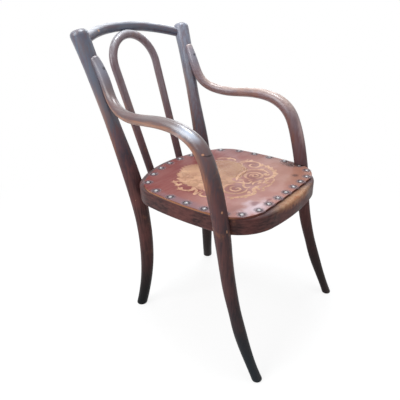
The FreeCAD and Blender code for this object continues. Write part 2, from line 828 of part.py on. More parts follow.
# The whole chair is moved so that its depth is centred on the origin
front_reach = arm_right.Shape.optimalBoundingBox().YMin
back_reach = crest_rail.Shape.optimalBoundingBox().YMax
to_centre = Vector(0, -(front_reach + back_reach) / 2, 0)
for part in parts.values():
    part.Placement.Base = part.Placement.Base + to_centre
doc.recompute()
for name in [name for name in parts if name.endswith("_right") and not name.startswith("seat_nails")]:
    other = name.replace("_right", "_left")
    parts[other] = mirrored(other, parts[name])
for name, part in parts.items():
    part.Label = name
doc.recompute()

# Checks before anything is written
for part in doc.Objects:
    if "Invalid" in part.State or "Error" in part.State:
        raise RuntimeError(f"{part.Name} failed: {part.State}")
for name, part in parts.items():
    if part.Shape.isNull() or not part.Shape.isValid():
        raise RuntimeError(f"{name} has no valid shape")

for name, part in parts.items():
    part.Shape.exportStep(f"parts/{name}.step")
    print(f"{name}: {len(part.Shape.Solids)} solids, {part.Shape.Volume / 1000:.2f} cm3")
print(f"moved by {to_centre.y:.3f} mm in Y")
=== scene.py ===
# %% Load the packed chair
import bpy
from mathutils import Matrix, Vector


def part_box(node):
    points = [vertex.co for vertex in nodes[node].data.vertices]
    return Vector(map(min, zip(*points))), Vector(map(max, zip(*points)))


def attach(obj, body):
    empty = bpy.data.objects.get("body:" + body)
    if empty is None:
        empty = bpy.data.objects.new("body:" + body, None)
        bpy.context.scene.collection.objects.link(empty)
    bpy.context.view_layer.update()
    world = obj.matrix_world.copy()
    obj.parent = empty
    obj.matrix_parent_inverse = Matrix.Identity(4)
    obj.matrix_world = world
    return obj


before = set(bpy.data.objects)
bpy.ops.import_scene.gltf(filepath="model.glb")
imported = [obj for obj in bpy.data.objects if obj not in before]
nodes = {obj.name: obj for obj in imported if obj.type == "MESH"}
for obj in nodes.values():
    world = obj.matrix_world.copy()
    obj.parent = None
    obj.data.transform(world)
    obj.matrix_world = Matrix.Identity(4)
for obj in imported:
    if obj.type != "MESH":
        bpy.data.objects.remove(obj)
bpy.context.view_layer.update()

# %% [markdown]
# # An old bentwood armchair
# The chair is all bent round rods of dark-stained beech around a red-brown plywood seat with a
# tan pressed ornament and a row of steel dome nails. The packed CAD model already has every rod,
# ring, panel and nail in its place, in metres, so this lesson adds what paint, wear and age do:
# node materials for each part, the pressed ornament, the stains around the nails, a floor,
# light and a camera.

# %% Places on the chair
import math

import bmesh
import bpy
from mathutils import Matrix, Vector

MM = 0.001
seat_low, seat_high = (Vector(corner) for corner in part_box("seat_panel"))
seat_middle = (seat_low + seat_high) / 2
print("seat panel:", [round(value, 4) for value in seat_low], [round(value, 4) for value in seat_high])

# %% [markdown]
# ## Wiring a finish
# Each finish is a net of shader nodes. They could be added and linked one by one, but a finish of
# ten layers then takes a hundred lines that look alike. A small class that adds a node, feeds its
# inputs and hands back its result keeps each layer on one line, in the order of the real work.

# %% Node wiring


def socket_label(name):
    """The label of a socket from a plain name, such as Coat IOR from coat_ior."""
    return name.replace("_", " ").title().replace("Ior", "IOR")


class Wiring:
    """Adds nodes to a node tree and feeds their inputs."""

    def __init__(self, tree):
        self.tree = tree

    def join(self, socket, target):
        """A link from an output to an input."""
        self.tree.links.new(socket, target)

    def feed(self, target, given):
        """An input linked to a socket or set to a plain value; nothing leaves it as it is."""
        if isinstance(given, bpy.types.NodeSocket):
            self.join(given, target)
        elif given is not None:
            target.default_value = given

    def add(self, kind, links=None, **settings):
        """One node, with attributes or input values set by name and inputs linked to sockets."""
        node = self.tree.nodes.new("ShaderNode" + kind)
        for name, value in settings.items():
            if name in node.bl_rna.properties:
                setattr(node, name, value)
            else:
                self.feed(node.inputs[socket_label(name)], value)
        for name, socket in (links or {}).items():
            self.join(socket, node.inputs[name])
        return node

    def math(self, operation, first, second=None, clamp=False):
        """A Math node on one or two values or sockets."""
        node = self.add("Math", operation=operation, use_clamp=clamp)
        self.feed(node.inputs[0], first)
        self.feed(node.inputs[1], second)
        return node.outputs["Value"]

    def product(self, first, second):
        """Two values multiplied."""
        return self.math("MULTIPLY", first, second)

    def vector(self, operation, first, second=None, scale=None):
        """A Vector Math node on vectors or sockets, and its result."""
        node = self.add("VectorMath", operation=operation)
        for number, given in ((0, first), (1, second), (3, scale)):
            self.feed(node.inputs[number], given)
        return node.outputs["Value" if operation in ("LENGTH", "DOT_PRODUCT") else "Vector"]

    def between(self, value, low, high, out_low=0.0, out_high=1.0):
        """A value spread smoothly from one range to another and held there."""
        node = self.add("MapRange", interpolation_type="SMOOTHSTEP")
        for name, given in (("Value", value), ("From Min", low), ("From Max", high),
                            ("To Min", out_low), ("To Max", out_high)):
            self.feed(node.inputs[name], given)
        return node.outputs["Result"]

    def blend(self, share, under, over):
        """One colour over another by a share from 0 to 1."""
        node = self.add("Mix", data_type="RGBA")
        inputs = {socket.identifier: socket for socket in node.inputs}
        for name, given in (("Factor_Float", share), ("A_Color", under), ("B_Color", over)):
            self.feed(inputs[name], given)
        return next(socket for socket in node.outputs if socket.identifier == "Result_Color")

    def place(self):
        """A point's place in the object's own coordinates."""
        return self.add("TexCoord").outputs["Object"]

    def axes(self):
        """That place taken apart into X, Y and Z."""
        return self.add("SeparateXYZ", {"Vector": self.place()}).outputs


print("wiring steps:", [step for step in vars(Wiring) if not step.startswith("_")])

# %% [markdown]
# ## Grain, wear and height
# Every wooden piece shows the same things: fine streaks along the wood, patches where hands and
# feet have rubbed the stain away, and painted shade that darkens it towards the floor. Each could
# be wired anew in every material. Here each is a node group, built once from the object's own
# coordinates and placed in each wood with its own values, so the woods stay alike.

# %% Grain group
STREAK_RANGE = (0.3, 0.7)
CLOUD_RANGE = (0.35, 0.65)


def new_group(name, inputs, outputs):
    """An empty shader node group with its sockets, its wiring, and its input and output nodes."""
    group = bpy.data.node_groups.new(name, "ShaderNodeTree")
    for label, kind, default in inputs:
        socket = group.interface.new_socket(label, in_out="INPUT", socket_type="NodeSocket" + kind)
        socket.default_value = default
    for label, kind in outputs:
        group.interface.new_socket(label, in_out="OUTPUT", socket_type="NodeSocket" + kind)
    print(name, [socket.name for socket in group.interface.items_tree])
    start = group.nodes.new("NodeGroupInput")
    end = group.nodes.new("NodeGroupOutput")
    return group, Wiring(group), start.outputs, end.inputs


grain_group, wires, given, made = new_group(
    "wood_grain",
    [("Stretch", "Vector", (90.0, 90.0, 6.0))],
    [("Streak", "Float"), ("Cloud", "Float")])
place = wires.place()
stretched = wires.vector("MULTIPLY", place, given["Stretch"])
fine = wires.add("TexNoise", {"Vector": stretched}, scale=2.2, detail=4.0, roughness=0.6)
cloud = wires.add("TexNoise", {"Vector": place}, scale=16.0, detail=4.0)
wires.join(wires.between(fine.outputs["Fac"], *STREAK_RANGE), made["Streak"])
wires.join(wires.between(cloud.outputs["Fac"], *CLOUD_RANGE), made["Cloud"])

# %% Wear group
wear_group, wires, given, made = new_group(
    "rubbed_wear",
    [("Patch Scale", "Float", 14.0), ("Patch Amount", "Float", 0.4),
     ("Chip Scale", "Float", 150.0), ("Chip Amount", "Float", 0.26)],
    [("Patch", "Float"), ("Chip", "Float")])
place = wires.place()


def worn_spots(kind, rarest, gain, soft_edge, **noise):
    """Spots where noise passes a threshold, which falls from its rarest as the amount grows."""
    spots = wires.add("TexNoise", {"Vector": place, "Scale": given[kind + " Scale"]}, **noise)
    edge = wires.math("SUBTRACT", rarest, wires.product(given[kind + " Amount"], gain))
    full = wires.math("ADD", edge, soft_edge)
    wires.join(wires.between(spots.outputs["Fac"], edge, full), made[kind])


worn_spots("Patch", rarest=0.75, gain=0.4, soft_edge=0.12, detail=6.0, roughness=0.65)
worn_spots("Chip", rarest=0.85, gain=0.3, soft_edge=0.03, detail=2.0)

# %% Height group
height_group, wires, given, made = new_group(
    "height_fade", [("Low", "Float", 0.1), ("High", "Float", 0.4)], [("Share", "Float")])
wires.join(wires.between(wires.axes()["Z"], given["Low"], given["High"]), made["Share"])

# %% Facing group
facing_group, wires, given, made = new_group(
    "facing", [("Toward", "Vector", (0.0, 0.0, 1.0)), ("Low", "Float", 0.2), ("High", "Float", 0.9)],
    [("Share", "Float")])
turned = wires.vector("DOT_PRODUCT", wires.add("NewGeometry").outputs["Normal"], given["Toward"])
wires.join(wires.between(turned, given["Low"], given["High"]), made["Share"])

# %% [markdown]
# A single crack, chip or stain has one place on the chair. It could be painted on an image, but a
# group that measures the distance to a point, pushed about by noise, needs no image and no
# unwrapped mesh. Its reach along each axis makes it a dot, a streak or a broad patch.

# %% Mark group
NOISE_MIDDLE = (0.5, 0.5, 0.5)
mark_group, wires, given, made = new_group(
    "single_mark",
    [("Place", "Vector", (0.0, 0.0, 0.0)), ("Reach", "Vector", (0.01, 0.01, 0.01)),
     ("Ragged", "Float", 0.002), ("Ragged Scale", "Float", 90.0), ("Soft", "Float", 0.4)],
    [("Share", "Float")])
place = wires.place()
ragged = wires.add("TexNoise", {"Vector": place, "Scale": given["Ragged Scale"]}, detail=4.0)
centred = wires.vector("SUBTRACT", ragged.outputs["Color"], NOISE_MIDDLE)
pushed = wires.vector("ADD", place, wires.vector("SCALE", centred, scale=given["Ragged"]))
offset = wires.vector("DIVIDE", wires.vector("SUBTRACT", pushed, given["Place"]), given["Reach"])
distance = wires.vector("LENGTH", offset)
inner = wires.math("SUBTRACT", 1.0, given["Soft"])
wires.join(wires.between(distance, inner, 1.0, 1.0, 0.0), made["Share"])

# %% [markdown]
# ## Dark-stained beech
# The rods are one wood with one finish, so one function makes their material. The layers go on in
# this order: the stain with its streaks, a foot darkened by painted shade, a bluish haze painted as
# the reflection of window light and growing with height, a paler upper side painted as sheen, a side
# facing down and to the near side painted orange as partly rubbed wood and partly painted light,
# patches and chips of lighter wood, and last the rod's own marks. Each rod has faded and is lit in
# its own way, so a call sets the grain's direction and how strong and what colour each layer is.

# %% Wood colours


def stain(red, green, blue):
    """A colour given in 0 to 255 screen values, as linear light for a shader."""
    linear = []
    for value in (red, green, blue):
        value = value / 255
        linear.append(value / 12.92 if value <= 0.04045 else ((value + 0.055) / 1.055) ** 2.4)
    return (*linear, 1.0)


WOOD_DARK = stain(40, 27, 29)
WOOD_WARM = stain(84, 54, 51)
WOOD_RED = stain(98, 57, 54)
# Orange of rubbed wood, also painted as light on one side of the rods.
WOOD_RUBBED_AND_LIT = stain(144, 94, 66)
WOOD_BARE = stain(172, 126, 98)
WOOD_CRACK = stain(34, 22, 26)
WOOD_GOLD = stain(172, 134, 104)
# Colours of the painted shade at the feet.
FOOT_BLACK = stain(16, 17, 19)
FOOT_GREY = stain(30, 34, 38)
FOOT_BROWN = stain(36, 29, 29)
# Colours of the painted haze, a bluish reflection of window light.
PAINTED_HAZE_BLUE = stain(76, 91, 113)
PAINTED_HAZE_DEEP = stain(62, 80, 104)
PAINTED_HAZE_PALE = stain(126, 134, 152)
PAINTED_HAZE_WARM = stain(140, 119, 128)
PAINTED_HAZE_DUSK = stain(90, 82, 90)
PAINTED_HAZE_PLUM = stain(122, 106, 116)
# Colours of the painted sheen on upward faces.
SHEEN_GREY = stain(152, 150, 154)
SHEEN_WARM = stain(152, 142, 139)
SHEEN_PALE = stain(186, 188, 194)
SHEEN_TAN = stain(212, 192, 178)
# The next colour is the painted haze's bluish grey, for the arm tips.
TIP_BLUE = stain(112, 114, 128)
# The next colour is a painted reflection along the far leg.
REFLECTION_PALE = stain(176, 152, 150)
# The next colour is a painted highlight on the near arm's bend.
HIGHLIGHT_PALE = stain(180, 191, 208)
print("wood runs from", WOOD_DARK, "to", WOOD_WARM)

# %% Placing groups


def place_group(wiring, group, **values):
    """A group placed in a material with its own values, and its outputs."""
    node = wiring.add("Group", node_tree=group)
    for name, value in values.items():
        wiring.feed(node.inputs[socket_label(name)], value)
    return node.outputs


def height_share(wiring, low, high):
    """How far a point has come from a low to a high place, in metres above the floor."""
    return place_group(wiring, height_group, low=low, high=high)["Share"]


def new_material(name, **constants):
    """A material with a Principled BSDF whose even values are set on its own sockets."""
    material = bpy.data.materials.new(name)
    material.use_nodes = True
    shader = material.node_tree.nodes["Principled BSDF"]
    for label, value in constants.items():
        shader.inputs[socket_label(label)].default_value = value
    return material, Wiring(material.node_tree), shader.inputs


def add_bump(wiring, height, shader, strength, distance):
    """A fine relief that follows a height."""
    bump = wiring.add("Bump", {"Height": height}, strength=strength, distance=distance)
    wiring.join(bump.outputs["Normal"], shader["Normal"])


def dress(material, *names):
    """Gives a material to packed nodes."""
    for name in names:
        nodes[name].data.materials.clear()
        nodes[name].data.materials.append(material)
    print(material.name, "on", ", ".join(names))


print("groups to place:", [group.name for group in bpy.data.node_groups])

# %% Strength of each layer
ARM_TURN = (0.56, 0.62)
SEAT_LEVEL = 0.44
UPPER_END = 0.84
FACING_FULL = 0.95
RUBBED_AND_LIT_TOWARD = (-0.8, 0.1, -0.6)
RUBBED_AND_LIT_FROM = 0.55
STREAK_SHARE = 0.85
CLOUD_SHARE = 0.45
LOWEST_SHEEN = 0.12
SHEEN_BY_STREAK = (1.15, 0.6)
RUBBED_AND_LIT_OFF_STREAK = 0.4
RUBBED_AND_LIT_START = (0.0, 0.12)
RUBBED_AND_LIT_END = (0.66, 0.5)
PATCH_SHARE = 0.3
MARK_SHARE = 0.8
WOOD_ROUGHNESS = (0.34, 0.5)
VARNISH_START = (0.0, 0.5)
VARNISH_BY_CLOUD = (0.9, 0.55)
print("rods turn level between", ARM_TURN, "m and fade from", SEAT_LEVEL, "m up")

# %% Stained beech


def bent_grain(wires, stretch, top_stretch):
    """Streaks that turn with a rod from upright to level, and the clouds in its wood."""
    grain = place_group(wires, grain_group, stretch=stretch)
    if top_stretch is None:
        return grain["Streak"], grain["Cloud"]
    level = height_share(wires, *ARM_TURN)
    level_streak = place_group(wires, grain_group, stretch=top_stretch)["Streak"]
    upright_part = wires.product(grain["Streak"], wires.math("SUBTRACT", 1.0, level))
    return wires.math("ADD", upright_part, wires.product(level_streak, level)), grain["Cloud"]


def stained_beech(name, stretch, top_stretch=None, foot_shade=(0.05, 0.4), foot_shade_tint=FOOT_BLACK,
                  painted_haze=0.75, painted_haze_from=SEAT_LEVEL, painted_haze_tint=PAINTED_HAZE_BLUE,
                  sheen=0.5, sheen_from=0.2, sheen_tint=SHEEN_GREY, rubbed_and_lit=0.8, marks=None):
    """Stained wood with its grain, painted shade, haze and sheen, and its own single marks."""
    material, wires, shader = new_material(name, specular_ior_level=0.1, coat_roughness=0.3, coat_ior=1.7)
    streak, cloud = bent_grain(wires, stretch, top_stretch)
    wear = place_group(wires, wear_group)
    above_foot_shade = height_share(wires, *foot_shade)
    upper = height_share(wires, SEAT_LEVEL, UPPER_END)
    painted_haze_share = height_share(wires, painted_haze_from, UPPER_END)
    upward = place_group(wires, facing_group, low=sheen_from, high=FACING_FULL)["Share"]
    rubbed_and_lit_side = place_group(wires, facing_group, toward=RUBBED_AND_LIT_TOWARD,
                          low=RUBBED_AND_LIT_FROM, high=FACING_FULL)["Share"]

    colour = wires.blend(wires.product(streak, STREAK_SHARE), WOOD_DARK, WOOD_WARM)
    colour = wires.blend(wires.product(cloud, CLOUD_SHARE), colour, WOOD_RED)
    # Painted shade: the wood darkens towards the floor.
    colour = wires.blend(above_foot_shade, foot_shade_tint, colour)
    # Painted haze: a bluish reflection of the window light, painted stronger with height.
    painted_haze_by_streak = wires.between(streak, 0.0, 1.0, painted_haze, painted_haze / 2)
    colour = wires.blend(wires.product(painted_haze_share, painted_haze_by_streak), colour, painted_haze_tint)
    # Painted sheen: upward faces are painted paler, a reflection of the window light.
    painted_sheen = wires.product(upward, wires.between(upper, 0.0, 1.0, LOWEST_SHEEN, sheen))
    painted_sheen = wires.math("MULTIPLY", painted_sheen, wires.between(streak, 0.0, 1.0, *SHEEN_BY_STREAK), clamp=True)
    colour = wires.blend(painted_sheen, colour, sheen_tint)
    # The side facing down and to the near side is painted orange: partly rubbed wood, partly painted light.
    rubbed_and_lit_share = wires.product(rubbed_and_lit_side, wires.between(streak, 0.0, 1.0, RUBBED_AND_LIT_OFF_STREAK * rubbed_and_lit, rubbed_and_lit))
    in_reach = wires.product(wires.between(upper, *RUBBED_AND_LIT_START), wires.between(upper, *RUBBED_AND_LIT_END))
    colour = wires.blend(wires.product(rubbed_and_lit_share, in_reach), colour, WOOD_RUBBED_AND_LIT)
    patched = wires.product(wear["Patch"], above_foot_shade)
    colour = wires.blend(wires.product(patched, PATCH_SHARE), colour, WOOD_RUBBED_AND_LIT)
    colour = wires.blend(wires.product(wear["Chip"], above_foot_shade), colour, WOOD_BARE)
    for place, reach, ragged, soft, tint in (marks or {}).values():
        mark = place_group(wires, mark_group, place=place, reach=reach, ragged=ragged, soft=soft)
        colour = wires.blend(wires.product(mark["Share"], MARK_SHARE), colour, tint)
    wires.join(colour, shader["Base Color"])

    wires.join(wires.between(cloud, 0.0, 1.0, *WOOD_ROUGHNESS), shader["Roughness"])
    varnish_by_cloud = wires.between(cloud, 0.0, 1.0, *VARNISH_BY_CLOUD)
    wires.join(wires.product(wires.between(upper, *VARNISH_START), varnish_by_cloud), shader["Coat Weight"])
    add_bump(wires, streak, shader, strength=0.06, distance=0.0004)
    return material


# %% [markdown]
# The rods' own marks are given as a place and a reach in metres, how far the edge is ragged, how
# soft it is, and a colour: the crack across the near arm, chips with bare wood, the arm tips painted
# the bluish grey of the painted haze, a painted highlight on the near arm's bend, a painted
# reflection along the far leg, and the front of the ring, rubbed to gold by legs.

# %% Marks on the rods
NEAR_ARM_MARKS = {
    "crack": ((-0.206, -0.146, 0.5785), (0.016, 0.014, 0.0016), 0.005, 0.4, WOOD_CRACK),
    "chip by the crack": ((-0.2155, -0.140, 0.582), (0.004, 0.004, 0.003), 0.002, 0.4, WOOD_BARE),
    "chip above the seat": ((-0.2125, -0.186, 0.457), (0.003, 0.003, 0.004), 0.003, 0.4, WOOD_BARE),
    "chip on the ring's level": ((-0.209, -0.197, 0.410), (0.002, 0.002, 0.005), 0.003, 0.4, WOOD_BARE),
    # The tip is painted the bluish grey of the painted haze, over the painted sheen.
    "tip in painted haze": ((-0.17, 0.195, 0.715), (0.04, 0.05, 0.06), 0.008, 0.9, TIP_BLUE),
    # A painted highlight where the window light reflects off the bend.
    "painted highlight on the bend": ((-0.211, -0.1, 0.619), (0.012, 0.06, 0.026), 0.008, 0.95, HIGHLIGHT_PALE),
}
FAR_ARM_MARKS = {
    # A painted reflection of the window light along the leg.
    "painted reflection on the leg": ((0.198, -0.158, 0.52), (0.012, 0.03, 0.09), 0.006, 0.95, REFLECTION_PALE),
    # The tip is painted the bluish grey of the painted haze, over the painted sheen.
    "tip in painted haze": ((0.17, 0.195, 0.715), (0.04, 0.05, 0.06), 0.008, 0.9, TIP_BLUE),
}
CREST_MARKS = {
    "chip": ((-0.108, 0.271, 0.789), (0.004, 0.004, 0.004), 0.002, 0.4, WOOD_BARE),
}
RING_MARKS = {
    "gold edge": ((0.0, -0.262, 0.436), (0.14, 0.03, 0.013), 0.016, 0.8, WOOD_GOLD),
    "rubbed front": ((0.0, -0.262, 0.426), (0.12, 0.03, 0.012), 0.03, 0.9, WOOD_RUBBED_AND_LIT),
}
print("marks:", *NEAR_ARM_MARKS, *FAR_ARM_MARKS, *CREST_MARKS, *RING_MARKS, sep="\n  ")

# %% Rods and ring
UPRIGHT_GRAIN = (90.0, 90.0, 5.0)
ARM_GRAIN = (90.0, 8.0, 90.0)
CREST_GRAIN = (5.0, 60.0, 90.0)
RING_GRAIN = (26.0, 26.0, 90.0)
# Each rod has its own painted haze and sheen; the far rods, lit more by the window, are painted paler.
dress(stained_beech("near_post_beech", UPRIGHT_GRAIN, foot_shade=(0.02, 0.32), painted_haze_from=0.36, rubbed_and_lit=0.45),
      "rear_post_left")
dress(stained_beech("far_post_beech", UPRIGHT_GRAIN, foot_shade_tint=FOOT_BROWN,
                    painted_haze=0.9, painted_haze_from=0.32, painted_haze_tint=PAINTED_HAZE_PALE, sheen=0.3),
      "rear_post_right")
dress(stained_beech("near_arm_beech", UPRIGHT_GRAIN, ARM_GRAIN, foot_shade_tint=FOOT_GREY,
                    painted_haze=0.55, painted_haze_from=0.1, painted_haze_tint=PAINTED_HAZE_DUSK,
                    sheen=0.6, sheen_tint=SHEEN_WARM, rubbed_and_lit=1.0, marks=NEAR_ARM_MARKS),
      "arm_leg_left", "arm_screw_left")
dress(stained_beech("far_arm_beech", UPRIGHT_GRAIN, ARM_GRAIN, foot_shade_tint=FOOT_BROWN,
                    painted_haze=0.85, painted_haze_from=0.26, painted_haze_tint=PAINTED_HAZE_WARM,
                    sheen=0.95, sheen_tint=SHEEN_TAN, rubbed_and_lit=0.3, marks=FAR_ARM_MARKS),
      "arm_leg_right", "arm_screw_right")
dress(stained_beech("crest_beech", CREST_GRAIN, painted_haze_tint=PAINTED_HAZE_DEEP,
                    sheen=0.9, sheen_from=0.42, sheen_tint=SHEEN_PALE, rubbed_and_lit=0.1, marks=CREST_MARKS),
      "crest_rail")
dress(stained_beech("loop_beech", UPRIGHT_GRAIN, painted_haze_from=0.2, painted_haze_tint=PAINTED_HAZE_PLUM,
                    sheen=0.8, sheen_tint=SHEEN_PALE, rubbed_and_lit=0.4),
      "back_loop")
dress(stained_beech("ring_beech", RING_GRAIN, foot_shade=(0.1, 0.3), marks=RING_MARKS), "seat_ring")

# %% [markdown]
# ## Seat panel
# The plywood seat was stained red. It is maroon at the back and painted paler, to a dusty rose,
# towards the front as a painted sheen, with a painted highlight in the near corner and brown along
# the far side. Its cut edge shows the veneers as stripes, tan where the light wood is bare and dark
# at the front.
# All of this can be one material, because each change has its own place on the panel. The single
# marks are in millimetres from the panel's middle: across, along, half width and half length.

# %% Seat colours and marks
SEAT_RED = stain(108, 50, 48)
SEAT_ROSE = stain(156, 113, 105)
SEAT_BROWN = stain(140, 100, 82)
# The next colour is a painted highlight in the near front corner.
SEAT_HIGHLIGHT = stain(200, 186, 194)
SEAT_LILAC = stain(122, 98, 106)
SEAT_DARK = stain(104, 48, 50)
SEAT_GROUND = stain(112, 66, 62)
EDGE_TAN = stain(164, 114, 80)
EDGE_DARK = stain(92, 50, 42)
SEAT_MARKS = {
    # The first mark is a painted highlight in the near front corner, and the third a stain inside it.
    "painted highlight in the corner": (-120, -172, 75, 45, 0.06, SEAT_HIGHLIGHT),
    "faded near side": (-200, -17, 30, 130, 0.03, SEAT_LILAC),
    "stain in the painted highlight": (-100, -157, 20, 12, 0.03, SEAT_DARK),
    "stain at the front": (-70, -179, 30, 8, 0.03, SEAT_DARK),
    "ground of the near scroll": (-58, -78, 46, 46, 0.012, SEAT_GROUND),
    "ground of the far scroll": (46, -70, 58, 50, 0.012, SEAT_GROUND),
    "ground between them": (-6, -86, 30, 30, 0.012, SEAT_GROUND),
    "ground of the far link": (112, -14, 30, 34, 0.012, SEAT_GROUND),
    "ground of the near wave": (-132, 10, 26, 84, 0.012, SEAT_RED),
}
print("seat marks:", *SEAT_MARKS, sep="\n  ")

# %% Seat stain
SEAT_GRAIN = (6.0, 70.0, 70.0)
ROSE_STARTS_BEHIND = 0.12
ROSE_FULL_BEHIND = 0.03
BROWN_RANGE = (-0.06, 0.12)
BROWN_SHARE = 0.8
CLOUD_RED = 0.22
STREAK_ROSE = 0.15
SEAT_MARK_DEPTH = 0.02
SEAT_MARK_SHARE = 0.7
NEAR_SIDE = (-1.0, 0.0, 0.0)
NEAR_SIDE_RANGE = (0.75, 0.97)
VENEER = 0.0012
VENEER_EDGE = 0.4
SEAT_ROUGHNESS = (0.36, 0.5)


def seat_stain():
    """Red plywood painted paler towards the front as a sheen, with a striped edge."""
    material, wires, shader = new_material("seat_stain", specular_ior_level=0.12)
    grain = place_group(wires, grain_group, stretch=SEAT_GRAIN)
    axes = wires.axes()
    # Painted sheen: the seat is painted paler towards the front.
    front_sheen = wires.between(axes["Y"], seat_middle.y + ROSE_STARTS_BEHIND, seat_low.y + ROSE_FULL_BEHIND)
    far_side = wires.product(wires.between(axes["X"], *BROWN_RANGE), front_sheen)
    colour = wires.blend(front_sheen, SEAT_RED, SEAT_ROSE)
    colour = wires.blend(wires.product(far_side, BROWN_SHARE), colour, SEAT_BROWN)
    colour = wires.blend(wires.product(grain["Cloud"], CLOUD_RED), colour, SEAT_RED)
    colour = wires.blend(wires.product(grain["Streak"], STREAK_ROSE), colour, SEAT_ROSE)
    for across, along, half_width, half_length, ragged, tint in SEAT_MARKS.values():
        spot = (seat_middle.x + across * MM, seat_middle.y + along * MM, seat_high.z)
        reach = (half_width * MM, half_length * MM, SEAT_MARK_DEPTH)
        mark = place_group(wires, mark_group, place=spot, reach=reach,
                           ragged=ragged, ragged_scale=30.0, soft=0.8)
        colour = wires.blend(wires.product(mark["Share"], SEAT_MARK_SHARE), colour, tint)

    stripe = wires.math("SINE", wires.product(axes["Z"], math.pi / VENEER))
    veneer = wires.blend(wires.between(stripe, -VENEER_EDGE, VENEER_EDGE), EDGE_DARK, EDGE_TAN)
    near_low, near_high = NEAR_SIDE_RANGE
    near_side = place_group(wires, facing_group, toward=NEAR_SIDE, low=near_low, high=near_high)["Share"]
    edge = wires.blend(near_side, EDGE_DARK, veneer)
    top = place_group(wires, facing_group)["Share"]
    wires.join(wires.blend(top, edge, colour), shader["Base Color"])
    wires.join(wires.between(grain["Cloud"], 0.0, 1.0, *SEAT_ROUGHNESS), shader["Roughness"])
    add_bump(wires, grain["Streak"], shader, strength=0.06, distance=0.0003)
    return material


dress(seat_stain(), "seat_panel")

# %% [markdown]
# ## Pressed ornament
# A heated plate has pressed a tan ornament into the seat: a shell-shaped field with a leafy edge,
# scrolls down both sides, two round volutes below it and a swag that ties them together. It could
# be a pattern in the seat's material, but its lines have a raised middle that catches the light,
# so it is built as thin mouldings on the panel. Each is a smooth line through a few points, in
# millimetres from the panel's middle, swept with a low roof-shaped section.

# %% Lines in the seat's plan
LINE_STEPS = 7
TURN_STEPS = 28


def on_seat(across, along, lift=0.0):
    """A point of the seat's plan, in millimetres from its middle, as a place in metres."""
    return Vector((seat_middle.x + across * MM, seat_middle.y + along * MM, seat_high.z + lift * MM))


def smooth_line(points, steps=LINE_STEPS):
    """A line that runs smoothly through points of the plan."""
    ends = [2 * Vector(points[0]) - Vector(points[1]), 2 * Vector(points[-1]) - Vector(points[-2])]
    knots = [ends[0]] + [Vector(point) for point in points] + [ends[1]]
    line = []
    for before, start, end, after in zip(knots, knots[1:], knots[2:], knots[3:]):
        for step in range(steps):
            share = step / steps
            line.append(0.5 * (2 * start + (end - before) * share
                               + (2 * before - 5 * start + 4 * end - after) * share ** 2
                               + (3 * start - before - 3 * end + after) * share ** 3))
    return line + [knots[-2]]


def volute(centre, outer, inner, start, turns):
    """A spiral in the plan from an outer to an inner radius; negative turns run clockwise."""
    count = int(abs(turns) * TURN_STEPS)
    line = []
    for step in range(count + 1):
        share = step / count
        angle = math.radians(start) + 2 * math.pi * turns * share
        radius = outer + (inner - outer) * share
        line.append(Vector(centre) + radius * Vector((math.cos(angle), math.sin(angle))))
    return line


print("middle of the plan:", on_seat(0, 0))

# %% Mouldings on the seat
ROOF_FOOT = 0.1
ROOF_KEEL = -0.3
BAND_END = 0.25
BAND_TAPER = 5
BLADE_END = 0.06
BLADE_SKEW = 0.75
LEAF_STEPS = 6


def band(share):
    """The width of a scroll along its length: full, with tapered ends."""
    return min(1.0, BAND_END + BAND_TAPER * share, BAND_END + BAND_TAPER * (1 - share))


def blade(share):
    """The width of a leaf along its length: widest before the middle, with a sharp tip."""
    return max(BLADE_END, math.sin(math.pi * share ** BLADE_SKEW))


def seat_piece(name, points, faces, material):
    """A mesh that lies on the seat and rides on the chair."""
    mesh = bpy.data.meshes.new(name)
    mesh.from_pydata(points, [], faces)
    mesh.materials.append(material)
    piece = bpy.data.objects.new(name, mesh)
    bpy.context.collection.objects.link(piece)
    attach(piece, "root")
    print(name, len(points), "points", len(faces), "faces")
    return piece


class Moulding:
    """Collects roof-shaped ribbons on the seat for one mesh."""

    def __init__(self, ridge):
        self.ridge = ridge
        self.points = []
        self.faces = []

    def ribbon(self, line, width, outline=band):
        """One ribbon along a line of the plan."""
        first = len(self.points)
        last = len(line) - 1
        for number, point in enumerate(line):
            ahead = line[min(number + 1, last)] - line[max(number - 1, 0)]
            side = Vector((-ahead.y, ahead.x)).normalized() * (width / 2 * outline(number / last))
            self.points += [on_seat(*(point + side), ROOF_FOOT), on_seat(*point, self.ridge),
                            on_seat(*(point - side), ROOF_FOOT), on_seat(*point, ROOF_KEEL)]
        for number in range(last):
            row = first + 4 * number
            for corner in range(4):
                other = (corner + 1) % 4
                self.faces.append((row + corner, row + other, row + other + 4, row + corner + 4))
        end = first + 4 * last
        self.faces.append((first + 3, first + 2, first + 1, first))
        self.faces.append((end, end + 1, end + 2, end + 3))

    def leaf(self, root, tip, width, bend):
        """One leaf from its root to its tip, bent sideways by a share of its length."""
        root, tip = Vector(root), Vector(tip)
        reach = tip - root
        middle = (root + tip) / 2 + Vector((-reach.y, reach.x)) * bend
        self.ribbon(smooth_line([root, middle, tip], LEAF_STEPS), width, blade)


print("roof section from", ROOF_KEEL, "to", ROOF_FOOT, "mm and its ridge")

# %% [markdown]
# The pressed wood is a lighter tan than the stain. Years of sitting have thinned it, mostly on the
# far side, so its material is partly see-through there and the red seat shows through the patches.

# %% Ornament finish
TAN_LIGHT = stain(194, 154, 124)
TAN_DEEP = stain(172, 130, 106)
TAN_GRAIN = (8.0, 60.0, 60.0)
WORN_RANGE = (-0.06, 0.05)


